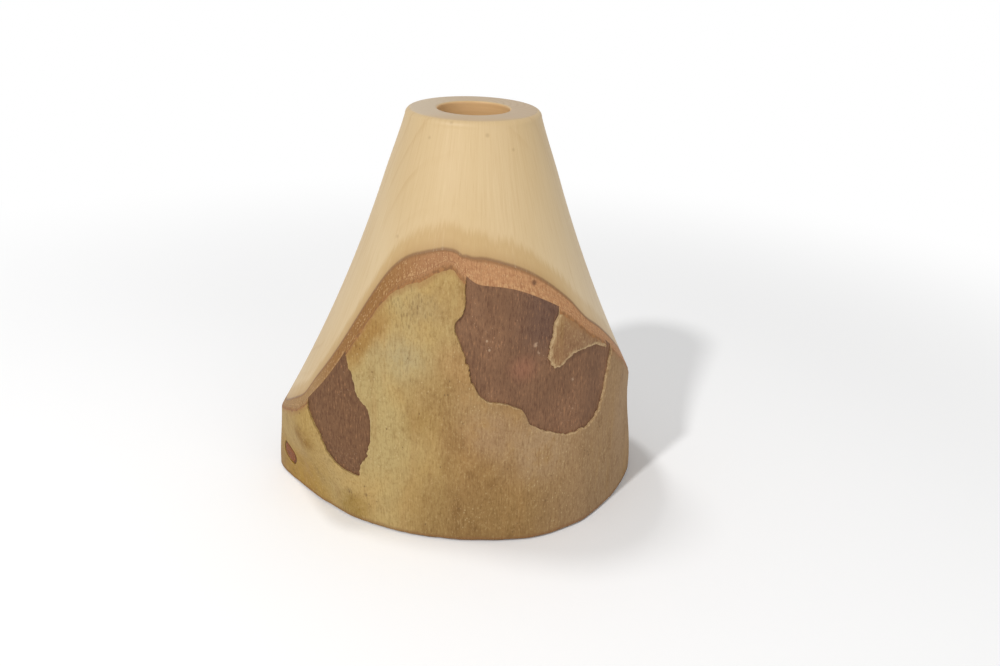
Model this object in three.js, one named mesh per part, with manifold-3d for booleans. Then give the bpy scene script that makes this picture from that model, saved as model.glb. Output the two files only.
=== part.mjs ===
// A live-edge bud vase. A short, irregular log is turned to a flared cone that is drilled from the
// top. Where the log was too small for the cone its bark is left on, so the flare runs out into bark
// along a wavy edge. A water tube stands in the drilled hole.
// Millimetres. Z is the lathe axis, z = 0 is the sawn foot, and -Y is the front.
import * as THREE from "three";
import { mergeVertices } from "three/addons/utils/BufferGeometryUtils.js";
import Module from "manifold-3d";

// Turned form
const HEIGHT = 150;
const RIM_DIAMETER = 45.8;
const RIM_HALF_ANGLE = 15; // degrees that the wall leans out from the axis just below the rim
const FLARE_RADIUS = 412; // the wall then sweeps outwards, down to the foot, on about this radius
const LIP_TAPER = 0.9; // the wall is drawn in by this much more at the rim,
const LIP_HEIGHT = 24; // starting this far below it
const RIM_ROUND = 2.4;
const BORE_DIAMETER = 25;
const BORE_DEPTH = 100;
const BORE_ROUND = 0.8;

// Water tube
const TUBE_CLEARANCE = 1.5; // from the tube's wall to the bore
const TUBE_RECESS = 10; // from the rim down to the tube's lip
const TUBE_WALL = 1.2;
const TUBE_FLOOR = 2;
const TUBE_HEEL = 2.5; // rounding between the tube's wall and its floor
const SEAT_GAP = 0.2; // under the tube

// Log and bark
const LOG_WIDTH = 145; // across the log from left to right, at the foot
const BARK = 3; // usual thickness
const SHEET = 0.7; // thickness of the flaking outer bark
const BARK_GAP = 0.2; // between one layer of the log and the next
const EDGE_LIFT = 0.4; // the brittle outer bark breaks off this far above the sawn foot
const SWELL_HEIGHT = 40; // the log's outline changes from the foot up to here, and then stays
const OUTLINE_TENSION = 0.5; // of the curve through the log's stations

// The log's outline, anticlockwise from the front: at the foot and above the swell, in hundredths of
// LOG_WIDTH, and how thick the bark is there, as a share of BARK.
const LOG = [
  { foot: [3.2, -27.3], above: [3.6, -28.1], bark: 1.29 }, // front
  { foot: [10.1, -26.9], above: [10.4, -26.8], bark: 1.2 },
  { foot: [18.6, -25.1], above: [17.9, -24.1], bark: 1.15 },
  { foot: [26.3, -20.7], above: [25, -20], bark: 0.95 },
  { foot: [33.1, -14.7], above: [31.7, -14.8], bark: 0.8 },
  { foot: [42.1, -0.3], above: [40.5, -2], bark: 0.9 },
  { foot: [46.9, 16.6], above: [44.3, 15.2], bark: 0.93 }, // right
  { foot: [41.4, 31.7], above: [40, 30.3], bark: 1 },
  { foot: [23.4, 40.7], above: [22.8, 39.3], bark: 1 },
  { foot: [0, 43.4], above: [0, 42.1], bark: 1 }, // back
  { foot: [-23.4, 40], above: [-22.8, 38.6], bark: 1 },
  { foot: [-43.4, 28.3], above: [-42.1, 26.2], bark: 1 },
  { foot: [-51.3, 13.8], above: [-49, 11.4], bark: 0.9 },
  { foot: [-51.7, 5.2], above: [-48.8, -3.6], bark: 0.55 }, // ridge on the left
  { foot: [-40, -8.8], above: [-42.6, -16.8], bark: 0.95 },
  { foot: [-34.3, -14], above: [-37.1, -20.8], bark: 1.43 },
  { foot: [-27.6, -19.2], above: [-30.7, -22.8], bark: 1.5 },
  { foot: [-17.2, -24.1], above: [-19.3, -23.4], bark: 1.23 },
  { foot: [-9, -26.3], above: [-10.3, -25.8], bark: 1.1 },
  { foot: [-4.6, -26.9], above: [-5.2, -26.1], bark: 0.75 },
  { foot: [-2.6, -27.1], above: [-2.9, -26.4], bark: 0.68 },
  { foot: [-0.6, -27.3], above: [-0.6, -27.4], bark: 0.95 },
];

// Places where the outer bark has flaked off, and loose flakes left in them, as [x, depth below the
// rim] in hundredths of LOG_WIDTH, on the front or, with the same x, on the back. They hang from the
// live edge, so each is open at the top.
const CLEARINGS = {
  left: [
    [-28.3, 55.2], [-26.8, 61.4], [-25.7, 65.5], [-23.3, 70], [-22.7, 75.9], [-23.4, 81.4],
    [-25.4, 85.5], [-26.1, 89.3], [-30.9, 87.1], [-33.8, 83.5], [-35.2, 79.3], [-38.1, 72.9],
    [-38.3, 69],
  ],
  right: [
    [0, 33.1], [-0.4, 40.7], [-2.5, 45.2], [0, 51.7], [2.1, 59], [5.5, 63.6], [10.3, 64.8],
    [14.1, 66.9], [16.8, 71.4], [21.4, 74.5], [26.2, 76.2], [31.2, 75.7], [34.3, 72.3], [35.3, 66.9],
    [36.3, 57.9],
  ],
  back: [
    [-21.4, 66.9], [-20.7, 72], [-17.9, 76.2], [-18.6, 80], [-13.8, 83.8], [-5.5, 85], [2.8, 83.4],
    [10.3, 85.2], [16.6, 82], [17.9, 77], [15.2, 72.4], [17.2, 66.9],
  ],
};
const FLAKES = {
  front: [
    [22, 43], [21, 46.5], [20.5, 50.5], [20.2, 54], [21, 56], [22.8, 57.1], [24.1, 56.1],
    [26.6, 54], [28.2, 53.6], [30.8, 53.4], [33.6, 54.8], [34.8, 55.9],
  ],
  back: [
    [-12.4, 67.6], [-13.1, 72], [-10.3, 76.4], [-6.2, 79], [-1.4, 77.4], [4.1, 79.8], [7.6, 75.5],
    [6.2, 71.6], [9, 67.6],
  ],
};

// Branch knot, in the ridge
const KNOT_BEARING = 183; // degrees anticlockwise from +X
const KNOT_HEIGHT = 13.2;
const KNOT_LENGTH = 11;
const KNOT_WIDTH = 9.5;

// Fineness
const TURNED_SIDES = 64;
const FLARE_STEPS = 12;
const ROUND_STEPS = 2;
const LOG_STEPS = LOG.length * 4;
const SWELL_STEPS = 4;
const OUTLINE_STEPS = 2;
const KNOT_STEPS = 6;
const FAR = 2 * HEIGHT; // past every surface of the vase

const wasm = await Module();
wasm.setup();

// Solids

function solid(geometry) {
  const bare = new THREE.BufferGeometry();
  bare.setAttribute("position", geometry.getAttribute("position"));
  bare.setIndex(geometry.index);
  const merged = mergeVertices(bare);
  return new wasm.Manifold(
    new wasm.Mesh({
      numProp: 3,
      vertProperties: merged.getAttribute("position").array,
      triVerts: new Uint32Array(merged.index.array),
    }),
  );
}

function geometryOf(body) {
  const { vertProperties, triVerts } = body.getMesh();
  const geometry = new THREE.BufferGeometry();
  geometry.setAttribute("position", new THREE.BufferAttribute(vertProperties, 3));
  geometry.setIndex(new THREE.BufferAttribute(triVerts, 1));
  const faceted = geometry.toNonIndexed();
  faceted.computeVertexNormals();
  return faceted;
}

// Revolves a profile of [radius, height] points that starts and ends on the axis.
function turned(profile) {
  const points = profile.map(([radius, height]) => new THREE.Vector2(radius, height));
  return solid(new THREE.LatheGeometry(points, TURNED_SIDES).rotateX(Math.PI / 2));
}

// A quarter round from one direction to another, both in degrees, about a centre.
function quarterRound([x, y], radius, from, to) {
  return Array.from({ length: ROUND_STEPS + 1 }, (_, i) => {
    const angle = THREE.MathUtils.degToRad(from + ((to - from) * i) / ROUND_STEPS);
    return [x + radius * Math.cos(angle), y + radius * Math.sin(angle)];
  });
}

// The wall of the turned form
function flareRadius(height) {
  const depth = HEIGHT - height;
  const lean = Math.tan(THREE.MathUtils.degToRad(RIM_HALF_ANGLE));
  const lip = LIP_TAPER * THREE.MathUtils.smoothstep(depth, 0, LIP_HEIGHT);
  return RIM_DIAMETER / 2 + lip + lean * depth + depth ** 2 / (2 * FLARE_RADIUS);
}

function flareProfile() {
  const top = HEIGHT - RIM_ROUND;
  const wall = Array.from({ length: FLARE_STEPS + 1 }, (_, i) => {
    const height = (top * i) / FLARE_STEPS;
    return [flareRadius(height), height];
  });
  const rimCentre = [flareRadius(top) - RIM_ROUND, top];
  return [[0, 0], ...wall.slice(0, -1), ...quarterRound(rimCentre, RIM_ROUND, 0, 90)];
}

function plainCone() {
  return turned([...flareProfile(), [0, HEIGHT]]);
}

function drilledCone() {
  const radius = BORE_DIAMETER / 2;
  const mouth = quarterRound([radius + BORE_ROUND, HEIGHT - BORE_ROUND], BORE_ROUND, 90, 180);
  const floor = HEIGHT - BORE_DEPTH;
  return turned([...flareProfile(), ...mouth, [radius, floor], [0, floor]]);
}

// The log

function ofLog(hundredths) {
  return (hundredths * LOG_WIDTH) / 100;
}

// The outline's x and y, with the bark's thickness as z
function closedCurve(key) {
  const stations = LOG.map(
    (at) => new THREE.Vector3(ofLog(at[key][0]), ofLog(at[key][1]), at.bark * BARK),
  );
  return new THREE.CatmullRomCurve3(stations, true, "catmullrom", OUTLINE_TENSION);
}

const footCurve = closedCurve("foot");
const aboveCurve = closedCurve("above");

// The outline at a height, moved inwards by a depth that may depend on the bark's thickness there.
function ring(height, depthOf) {
  const share = THREE.MathUtils.smoothstep(height, 0, SWELL_HEIGHT);
  const points = Array.from({ length: LOG_STEPS }, (_, i) => {
    const turn = i / LOG_STEPS;
    return footCurve.getPoint(turn).lerp(aboveCurve.getPoint(turn), share);
  });
  return points.map((point, i) => {
    const before = points.at(i - 1);
    const after = points[(i + 1) % LOG_STEPS];
    const along = new THREE.Vector2(after.x - before.x, after.y - before.y).normalize();
    const depth = depthOf(point.z);
    return [point.x - along.y * depth, point.y + along.x * depth, height];
  });
}

function rings(bottom, depthOf) {
  const swell = Array.from({ length: SWELL_STEPS + 1 }, (_, i) => (SWELL_HEIGHT * i) / SWELL_STEPS);
  const heights = [...new Set([bottom, ...swell.filter((height) => height >= bottom), FAR])];
  return heights.map((height) => ring(height, depthOf));
}

// A closed sleeve between two stacks of rings. Both walls split their quads along the same diagonal,
// so that one layer of the log follows the next.
function sleeve(outside, inside) {
  const rows = [...outside, ...inside];
  const top = outside.length - 1;
  const faces = [];
  const join = (low, high, facesOut) => {
    for (let i = 0; i < LOG_STEPS; i++) {
      const next = (i + 1) % LOG_STEPS;
      const [a, b] = [low * LOG_STEPS + i, low * LOG_STEPS + next];
      const [c, d] = [high * LOG_STEPS + next, high * LOG_STEPS + i];
      faces.push(...(facesOut ? [a, b, c, a, c, d] : [a, c, b, a, d, c]));
    }
  };
  for (let row = 0; row < top; row++) {
    join(row, row + 1, true);
    join(outside.length + row, outside.length + row + 1, false);
  }
  join(top, outside.length + top, true);
  join(0, outside.length, false);
  const geometry = new THREE.BufferGeometry();
  geometry.setAttribute("position", new THREE.Float32BufferAttribute(rows.flat(2), 3));
  geometry.setIndex(faces);
  return solid(geometry);
}

// A layer of the log between two depths, trimmed by the turned form.
function layer(bottom, outerDepth, innerDepth) {
  return sleeve(rings(bottom, outerDepth), rings(bottom, innerDepth)).intersect(plainCone());
}

// All that lies outside a depth of the log, for cutting the turned form back to the wood.
function outsideOf(depthOf) {
  return sleeve(rings(-FAR, () => -FAR), rings(-FAR, depthOf));
}

// Cutters

// A smooth curve through the points, closed by straight sides that run up past the vase.
function openTopped(points) {
  const [first, ...rest] = points.map(([x, y]) => new THREE.Vector2(ofLog(x), HEIGHT - ofLog(y)));
  const shape = new THREE.Shape();
  shape.moveTo(first.x, FAR);
  shape.lineTo(first.x, first.y);
  shape.splineThru(rest);
  shape.lineTo(rest.at(-1).x, FAR);
  return shape;
}

function prism(shape, curveSegments) {
  return new THREE.ExtrudeGeometry(shape, { depth: FAR, curveSegments, bevelEnabled: false });
}

// A prism that runs from the lathe axis out to the front of the vase, or out to the back.
function throughFront(points) {
  return solid(prism(openTopped(points), OUTLINE_STEPS).rotateX(Math.PI / 2));
}

function throughBack(points) {
  const geometry = prism(openTopped(points), OUTLINE_STEPS).rotateX(Math.PI / 2);
  return solid(geometry.translate(0, FAR, 0));
}

// An eye-shaped prism from the lathe axis out through the knot, larger all round by a margin.
function knotPrism(margin) {
  const tip = KNOT_LENGTH / 2 + margin;
  const side = KNOT_WIDTH + 2 * margin; // a quadratic curve reaches half-way to its control point
  const eye = new THREE.Shape();
  eye.moveTo(0, -tip);
  eye.quadraticCurveTo(side, 0, 0, tip);
  eye.quadraticCurveTo(-side, 0, 0, -tip);
  const quarterTurn = Math.PI / 2;
  const geometry = prism(eye, KNOT_STEPS).rotateX(quarterTurn).rotateZ(quarterTurn);
  geometry.rotateZ(THREE.MathUtils.degToRad(KNOT_BEARING));
  return solid(geometry.translate(0, 0, KNOT_HEIGHT));
}

// Pieces

const fullBark = (bark) => bark;

function woodBody() {
  return drilledCone().subtract(outsideOf(fullBark));
}

function innerBark() {
  const outer = () => SHEET + BARK_GAP;
  const inner = (bark) => bark - BARK_GAP;
  return layer(0, outer, inner).subtract(knotPrism(BARK_GAP));
}

function outerBark() {
  const outer = () => 0;
  const inner = () => SHEET;
  return layer(EDGE_LIFT, outer, inner);
}

function barkSheet() {
  return outerBark()
    .subtract(throughFront(CLEARINGS.left))
    .subtract(throughFront(CLEARINGS.right))
    .subtract(throughBack(CLEARINGS.back))
    .subtract(knotPrism(BARK_GAP));
}

function branchKnot() {
  const outer = () => 0;
  const inner = (bark) => bark - BARK_GAP;
  return layer(0, outer, inner).intersect(knotPrism(0));
}

function waterTube() {
  const radius = BORE_DIAMETER / 2 - TUBE_CLEARANCE;
  const bottom = HEIGHT - BORE_DEPTH + SEAT_GAP;
  const lip = HEIGHT - TUBE_RECESS;
  const bore = radius - TUBE_WALL;
  const heel = quarterRound([radius - TUBE_HEEL, bottom + TUBE_HEEL], TUBE_HEEL, -90, 0);
  const lipMiddle = [radius - TUBE_WALL / 2, lip - TUBE_WALL / 2];
  const outerLip = quarterRound(lipMiddle, TUBE_WALL / 2, 0, 90);
  const innerLip = quarterRound(lipMiddle, TUBE_WALL / 2, 90, 180);
  const floor = bottom + TUBE_FLOOR;
  return turned([[0, bottom], ...heel, ...outerLip, ...innerLip.slice(1), [bore, floor], [0, floor]]);
}

function finish(colour, roughness, more = {}) {
  return new THREE.MeshStandardMaterial({ color: colour, roughness, metalness: 0, ...more });
}

const vase = new THREE.Group();

function add(name, body, material) {
  const mesh = new THREE.Mesh(geometryOf(body), material);
  mesh.name = name;
  vase.add(mesh);
}

const tanBark = finish("#aa8c5c", 0.75);
add("wood_body", woodBody(), finish("#d2b485", 0.55));
add("inner_bark", innerBark(), finish("#825d45", 0.8));
add("bark_sheet", barkSheet(), tanBark);
add("bark_flake_front", outerBark().intersect(throughFront(FLAKES.front)), tanBark);
add("bark_flake_back", outerBark().intersect(throughBack(FLAKES.back)), tanBark);
add("branch_knot", branchKnot(), finish("#965f41", 0.7));
add("water_tube", waterTube(), finish("#dfeae6", 0.05, { transparent: true, opacity: 0.35 }));

export default vase;
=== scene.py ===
# %% [markdown]
# # A live-edge bud vase
# The vase is one short log. A turner drilled it from the top and turned the outside to a flared
# cone, but the log was too small for the whole cone, so the lower part still carries its bark. The
# line where the turned wood runs out into bark is called a live edge.
#
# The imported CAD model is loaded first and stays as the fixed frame. Every visible piece below is a
# finer mesh of one CAD piece, made from the same sizes, so it lies where the frame says.

# %% The fixed frame
import math

import bpy
import numpy as np
from mathutils import Matrix, Vector
from mathutils.geometry import delaunay_2d_cdt


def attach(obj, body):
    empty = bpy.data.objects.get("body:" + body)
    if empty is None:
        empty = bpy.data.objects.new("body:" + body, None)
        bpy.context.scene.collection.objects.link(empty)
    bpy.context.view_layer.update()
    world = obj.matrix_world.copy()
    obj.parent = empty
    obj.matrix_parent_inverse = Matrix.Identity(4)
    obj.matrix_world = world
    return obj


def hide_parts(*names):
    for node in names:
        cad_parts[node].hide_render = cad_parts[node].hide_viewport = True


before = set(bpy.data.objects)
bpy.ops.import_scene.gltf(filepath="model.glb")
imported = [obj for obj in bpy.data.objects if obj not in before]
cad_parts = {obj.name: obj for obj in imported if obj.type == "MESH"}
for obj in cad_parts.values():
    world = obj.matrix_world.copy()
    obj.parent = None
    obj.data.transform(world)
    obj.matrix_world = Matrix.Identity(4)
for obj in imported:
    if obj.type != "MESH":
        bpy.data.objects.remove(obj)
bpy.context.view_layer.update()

# %% [markdown]
# ## Sizes
# The numbers are those of the CAD model, in millimetres, which are easier to read than metres. A
# mesh is scaled to metres once, when it is made.

# %% Sizes of the turned form, the tube and the bark
MM = 0.001
HEIGHT = 150
RIM_RADIUS = 45.8 / 2
RIM_LEAN = math.tan(math.radians(15))
FLARE_RADIUS = 412
LIP_TAPER = 0.9
LIP_HEIGHT = 24
RIM_ROUND = 2.4
BORE_RADIUS = 25 / 2
BORE_FLOOR = HEIGHT - 100
BORE_ROUND = 0.8

TUBE_RADIUS = BORE_RADIUS - 1.5
TUBE_WALL = 1.2
TUBE_LIP = HEIGHT - 10
TUBE_BOTTOM = BORE_FLOOR + 0.2
TUBE_FLOOR = TUBE_BOTTOM + 2
TUBE_HEEL = 2.5

LOG_WIDTH = 145
BARK = 3
SHEET = 0.7
BARK_GAP = 0.2
EDGE_LIFT = 0.4
SWELL_HEIGHT = 40

KNOT_BEARING = math.radians(183)
KNOT_HEIGHT = 13.2
KNOT_LENGTH = 11
KNOT_WIDTH = 9.5
KNOT_SLANT = 0.4
print("height", HEIGHT, "mm, log", LOG_WIDTH, "mm wide")

# %% The log's outline, anticlockwise from the front
# Each row is x and y at the foot, x and y above the swell, all in hundredths of LOG_WIDTH, and the
# bark's thickness there as a share of BARK.
STATIONS = np.array([
    [3.2, -27.3, 3.6, -28.1, 1.29],  # front
    [10.1, -26.9, 10.4, -26.8, 1.2],
    [18.6, -25.1, 17.9, -24.1, 1.15],
    [26.3, -20.7, 25, -20, 0.95],
    [33.1, -14.7, 31.7, -14.8, 0.8],
    [42.1, -0.3, 40.5, -2, 0.9],
    [46.9, 16.6, 44.3, 15.2, 0.93],  # right
    [41.4, 31.7, 40, 30.3, 1],
    [23.4, 40.7, 22.8, 39.3, 1],
    [0, 43.4, 0, 42.1, 1],  # back
    [-23.4, 40, -22.8, 38.6, 1],
    [-43.4, 28.3, -42.1, 26.2, 1],
    [-51.3, 13.8, -49, 11.4, 0.9],
    [-51.7, 5.2, -48.8, -3.6, 0.55],  # ridge on the left
    [-40, -8.8, -42.6, -16.8, 0.95],
    [-34.3, -14, -37.1, -20.8, 1.43],
    [-27.6, -19.2, -30.7, -22.8, 1.5],
    [-17.2, -24.1, -19.3, -23.4, 1.23],
    [-9, -26.3, -10.3, -25.8, 1.1],
    [-4.6, -26.9, -5.2, -26.1, 0.75],
    [-2.6, -27.1, -2.9, -26.4, 0.68],
    [-0.6, -27.3, -0.6, -27.4, 0.95],
])
FOOT = STATIONS[:, 0:2] * LOG_WIDTH / 100
ABOVE = STATIONS[:, 2:4] * LOG_WIDTH / 100
THICKNESS = STATIONS[:, 4:5] * BARK
print(len(STATIONS), "stations round the log")

# %% [markdown]
# ## Camera
# The camera is set before any looks, so that each render can be laid beside the photograph. Its
# place and tilt were worked out from the ellipse of the rim and from the outline of the log. A
# camera looks along its own -Z, so the three columns of its rotation are its right, its up and the
# way back from the object.

# %% Camera at the photograph's angle
CAMERA_PLACE = (11.86, -345.31, 215.68)
CAMERA_PITCH = math.radians(23.413)
CAMERA_ROLL = math.radians(2.117)
SENSOR_WIDTH = FOCAL_LENGTH = 36


def add(name, data):
    """A new object in the scene."""
    thing = bpy.data.objects.new(name, data)
    bpy.context.scene.collection.objects.link(thing)
    return thing


right = Vector((1, 0, 0))
up = Vector((0, math.sin(CAMERA_PITCH), math.cos(CAMERA_PITCH)))
rolled_right = right * math.cos(CAMERA_ROLL) + up * math.sin(CAMERA_ROLL)
rolled_up = up * math.cos(CAMERA_ROLL) - right * math.sin(CAMERA_ROLL)
camera_data = bpy.data.cameras.new("photo_camera")
camera_data.sensor_width = SENSOR_WIDTH
camera_data.lens = FOCAL_LENGTH
camera_data.clip_start = 0.01
camera = add("photo_camera", camera_data)
turn = Matrix((rolled_right, rolled_up, rolled_right.cross(rolled_up))).transposed()
camera.matrix_world = Matrix.Translation(Vector(CAMERA_PLACE) * MM) @ turn.to_4x4()
bpy.context.scene.camera = camera
print("camera stands", round(camera.location.length, 3), "m from the foot")

# %% [markdown]
# ## The log and the cone
# Two surfaces make the whole vase. One is the log: a closed curve through the stations, which
# changes a little from the foot up to the swell, and which can be moved inwards to reach each layer
# of bark. The other is the turned cone, a radius for each height. The live edge is where a layer of
# the log has the cone's radius, and a simple halving search finds that height.

# %% Curves of the log and of the cone
HALVINGS = 40
OUTLINE_POINTS = 721


def smooth(share):
    share = np.clip(share, 0, 1)
    return share * share * (3 - 2 * share)


def between(before, start, end, after, w):
    """A Catmull-Rom curve from start to end, at shares w of the way."""
    leave, arrive = (end - before) / 2, (after - start) / 2
    bend = (2 * (start - end) + leave + arrive) * w**3
    return bend + (3 * (end - start) - 2 * leave - arrive) * w**2 + leave * w + start


def closed_curve(stations, turns):
    """A smooth closed curve through the stations, at shares of one full turn."""
    place = np.asarray(turns, float) * len(stations)
    whole = np.floor(place).astype(int)
    four = (stations[(whole + k) % len(stations)] for k in (-1, 0, 1, 2))
    return between(*four, (place - whole)[..., None])


def log_outline(turns, heights):
    share = smooth(np.asarray(heights) / SWELL_HEIGHT)[..., None]
    return closed_curve(FOOT, turns) * (1 - share) + closed_curve(ABOVE, turns) * share


def log_point(turns, heights, depths):
    """x, y and z on the log, moved in from its surface by a depth."""
    turns, heights, depths = np.broadcast_arrays(turns, heights, depths)
    step = 1e-4
    along = log_outline(turns + step, heights) - log_outline(turns - step, heights)
    along /= np.linalg.norm(along, axis=-1, keepdims=True)
    inward = np.stack([-along[..., 1], along[..., 0]], -1)
    flat = log_outline(turns, heights) + inward * depths[..., None]
    return np.concatenate([flat, heights[..., None]], -1)


def bark_thickness(turns):
    return closed_curve(THICKNESS, turns)[..., 0]


def cone_radius(heights):
    down = HEIGHT - np.asarray(heights)
    lip = LIP_TAPER * smooth(down / LIP_HEIGHT)
    return RIM_RADIUS + lip + RIM_LEAN * down + down**2 / (2 * FLARE_RADIUS)


def live_edge(turns, depths):
    """The height at which a layer of the log meets the cone."""
    turns, depths = np.broadcast_arrays(np.asarray(turns, float), np.asarray(depths, float))
    low, high = np.zeros(turns.shape), np.full(turns.shape, float(HEIGHT))
    for _ in range(HALVINGS):
        middle = (low + high) / 2
        point = log_point(turns, middle, depths)
        under = np.hypot(point[..., 0], point[..., 1]) < cone_radius(middle)
        low, high = np.where(under, middle, low), np.where(under, high, middle)
    return low


some_turns = np.linspace(0, 1, OUTLINE_POINTS)
edge_heights = live_edge(some_turns, 0)
print("live edge runs from", edge_heights.min().round(1), "to", edge_heights.max().round(1), "mm")

# %% [markdown]
# ## Making a mesh
# Each piece is a list of points and faces worked out with NumPy. One helper turns them into a
# Blender mesh, scales it to metres, stores numbers on its points for the materials to read, hangs
# the piece on the body it rides on and hides the CAD piece it stands for.

# %% Helpers that make a piece
NOISE_WIDE, NOISE_HIGH = 4096, 64


def make_piece(name, node, points, faces, numbers=None, body="vase", sharp=40):
    mesh = bpy.data.meshes.new(name)
    mesh.from_pydata((np.asarray(points) * MM).tolist(), [], faces)
    mesh.validate()
    for key, values in (numbers or {}).items():
        stored = mesh.attributes.new(key, "FLOAT", "POINT")
        stored.data.foreach_set("value", np.asarray(values, np.float32).ravel())
    mesh.shade_smooth()
    mesh.set_sharp_from_angle(angle=math.radians(sharp))
    piece = add(name, mesh)
    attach(piece, body)
    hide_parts(node)
    print(name, len(mesh.vertices), "points", len(mesh.polygons), "faces")
    return piece


def grid_faces(rows, columns, closed_rows=False):
    """Quads between rows of points that run anticlockwise round the log, from low to high."""
    last = rows if closed_rows else rows - 1
    here = np.arange(columns)
    ahead = (here + 1) % columns
    low = np.arange(last)[:, None] * columns
    high = (np.arange(last)[:, None] + 1) % rows * columns
    quads = np.stack([low + here, low + ahead, high + ahead, high + here], -1)
    return quads.reshape(-1, 4).tolist()


def closed_ends(rows, columns):
    """Quads between rows, a face across the first row and one across the last."""
    first = list(range(columns - 1, -1, -1))
    last = list(range((rows - 1) * columns, rows * columns))
    return [*grid_faces(rows, columns), first, last]


def noise(x, y, seed, wrap=NOISE_WIDE):
    """Smooth random values from 0 to 1, one to each whole step in x and y. x repeats after wrap."""
    table = np.random.default_rng(seed).random((NOISE_WIDE, NOISE_HIGH))
    left, low = np.floor(x).astype(int), np.floor(y).astype(int)
    across, upward = smooth(x - left), smooth(y - low)
    right, top = (left + 1) % wrap, (low + 1) % NOISE_HIGH
    left, low = left % wrap, low % NOISE_HIGH
    below = table[left, low] * (1 - across) + table[right, low] * across
    above = table[left, top] * (1 - across) + table[right, top] * across
    return below * (1 - upward) + above * upward


print("helpers ready")

# %% [markdown]
# ## Turned wood
# The wood is one closed skin: the sawn foot, the log's side under the bark, the turned cone, the
# eased rim, and the drilled hole with its floor. It could be a lathe with a boolean cut, but then
# the points would not follow the live edge. Here every column of points starts on the live edge
# itself, so the dark line between wood and bark stays clean.
#
# Each point also stores how far it lies under the bark. Growth rings run parallel to the bark, so
# the material can draw them from this one number.

# %% The wood's rows of points, from the middle of the foot to the middle of the drilled floor
COLUMNS, CONE_ROWS = 480, 110


def round_rows(centre, radius, start, end, count):
    """Radius and height of points on a rounded corner, from one direction to another in degrees."""
    angles = np.radians(np.linspace(start, end, count))
    return [(centre[0] + radius * math.cos(a), centre[1] + radius * math.sin(a)) for a in angles]


def ring_of(bearings, radius, height):
    radius, height = np.broadcast_to(radius, bearings.shape), np.broadcast_to(height, bearings.shape)
    return np.stack([radius * np.cos(bearings), radius * np.sin(bearings), height], -1)


turns = np.arange(COLUMNS) / COLUMNS
bark_here = bark_thickness(turns)
edge_here = live_edge(turns, bark_here)
edge_points = log_point(turns, edge_here, bark_here)
bearings = np.arctan2(edge_points[:, 1], edge_points[:, 0])

foot_edge = log_point(turns, 0, bark_here)
wood_rows = [foot_edge * share for share in (0.02, 0.3, 0.6, 0.85, 0.97)]
wood_rows += [log_point(turns, edge_here * share, bark_here) for share in (0, 0.3, 0.7)]
rim_start = HEIGHT - RIM_ROUND
for share in np.linspace(0, 1, CONE_ROWS) ** 1.3:
    height = edge_here + (rim_start - edge_here) * share
    wood_rows.append(ring_of(bearings, cone_radius(height), height))
rim_centre = (cone_radius(rim_start) - RIM_ROUND, rim_start)
mouth_centre = (BORE_RADIUS + BORE_ROUND, HEIGHT - BORE_ROUND)
inner_profile = round_rows(rim_centre, RIM_ROUND, 12, 90, 7)
inner_profile += [(r, HEIGHT) for r in np.linspace(rim_centre[0], mouth_centre[0], 8)[1:]]
inner_profile += round_rows(mouth_centre, BORE_ROUND, 90, 180, 5)[1:]
inner_profile += [(BORE_RADIUS, z) for z in np.linspace(mouth_centre[1], BORE_FLOOR, 16)[1:]]
inner_profile += [(BORE_RADIUS * share, BORE_FLOOR) for share in (0.7, 0.35, 0.02)]
wood_rows += [ring_of(bearings, radius, height) for radius, height in inner_profile]
print(len(wood_rows), "rows of", COLUMNS, "points")

# %% How deep each point lies under the bark
FINE_COLUMNS = 2 * COLUMNS
fine_turns = np.arange(FINE_COLUMNS) / FINE_COLUMNS
fine_bark = bark_thickness(fine_turns)


def depth_under_bark(row):
    """Distance from each point of a row to the log's outline, less the bark."""
    outline = log_outline(fine_turns, np.full(fine_turns.shape, row[:, 2].mean()))
    gap = np.hypot(row[:, None, 0] - outline[:, 0], row[:, None, 1] - outline[:, 1])
    least = gap.argmin(1)
    return gap[np.arange(len(row)), least] - fine_bark[least]


wood_depth = np.concatenate([depth_under_bark(row) for row in wood_rows])
wood_points = np.concatenate(wood_rows)
wood_faces = closed_ends(len(wood_rows), COLUMNS)
wood_body = make_piece("turned_wood", "wood_body", wood_points, wood_faces,
                       {"under_bark": wood_depth})
print("deepest wood", wood_depth.max().round(1), "mm under the bark")

# %% [markdown]
# ## Inner bark
# Under the thin outer bark lies a thick, fibrous layer all round the log. Its outside shows where
# the outer bark has flaked off, and its cut face is the reddish band along the live edge. The cut
# face is found by asking for the live edge at one depth after another.

# %% The inner bark's rows, up the outside, over the cut and down the inside
SKIN = SHEET + BARK_GAP * 0.9
outside_depth = np.full(COLUMNS, SHEET + BARK_GAP)
inside_depth = bark_here - BARK_GAP * 0.1
outside_top = live_edge(turns, outside_depth)
inside_top = live_edge(turns, inside_depth)

WALL_ROWS, CUT_ROWS = 60, 10
bark_rows, bark_layer = [], []
for share in np.linspace(0, 1, WALL_ROWS):
    bark_rows.append(log_point(turns, outside_top * share, outside_depth))
    bark_layer.append(1)
for share in np.linspace(0, 1, CUT_ROWS + 1)[1:]:
    depth = outside_depth + (inside_depth - outside_depth) * share
    bark_rows.append(log_point(turns, live_edge(turns, depth), depth))
    bark_layer.append(1 - share)
for share in (0.66, 0.33, 0):
    bark_rows.append(log_point(turns, inside_top * share, inside_depth))
    bark_layer.append(0)

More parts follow.
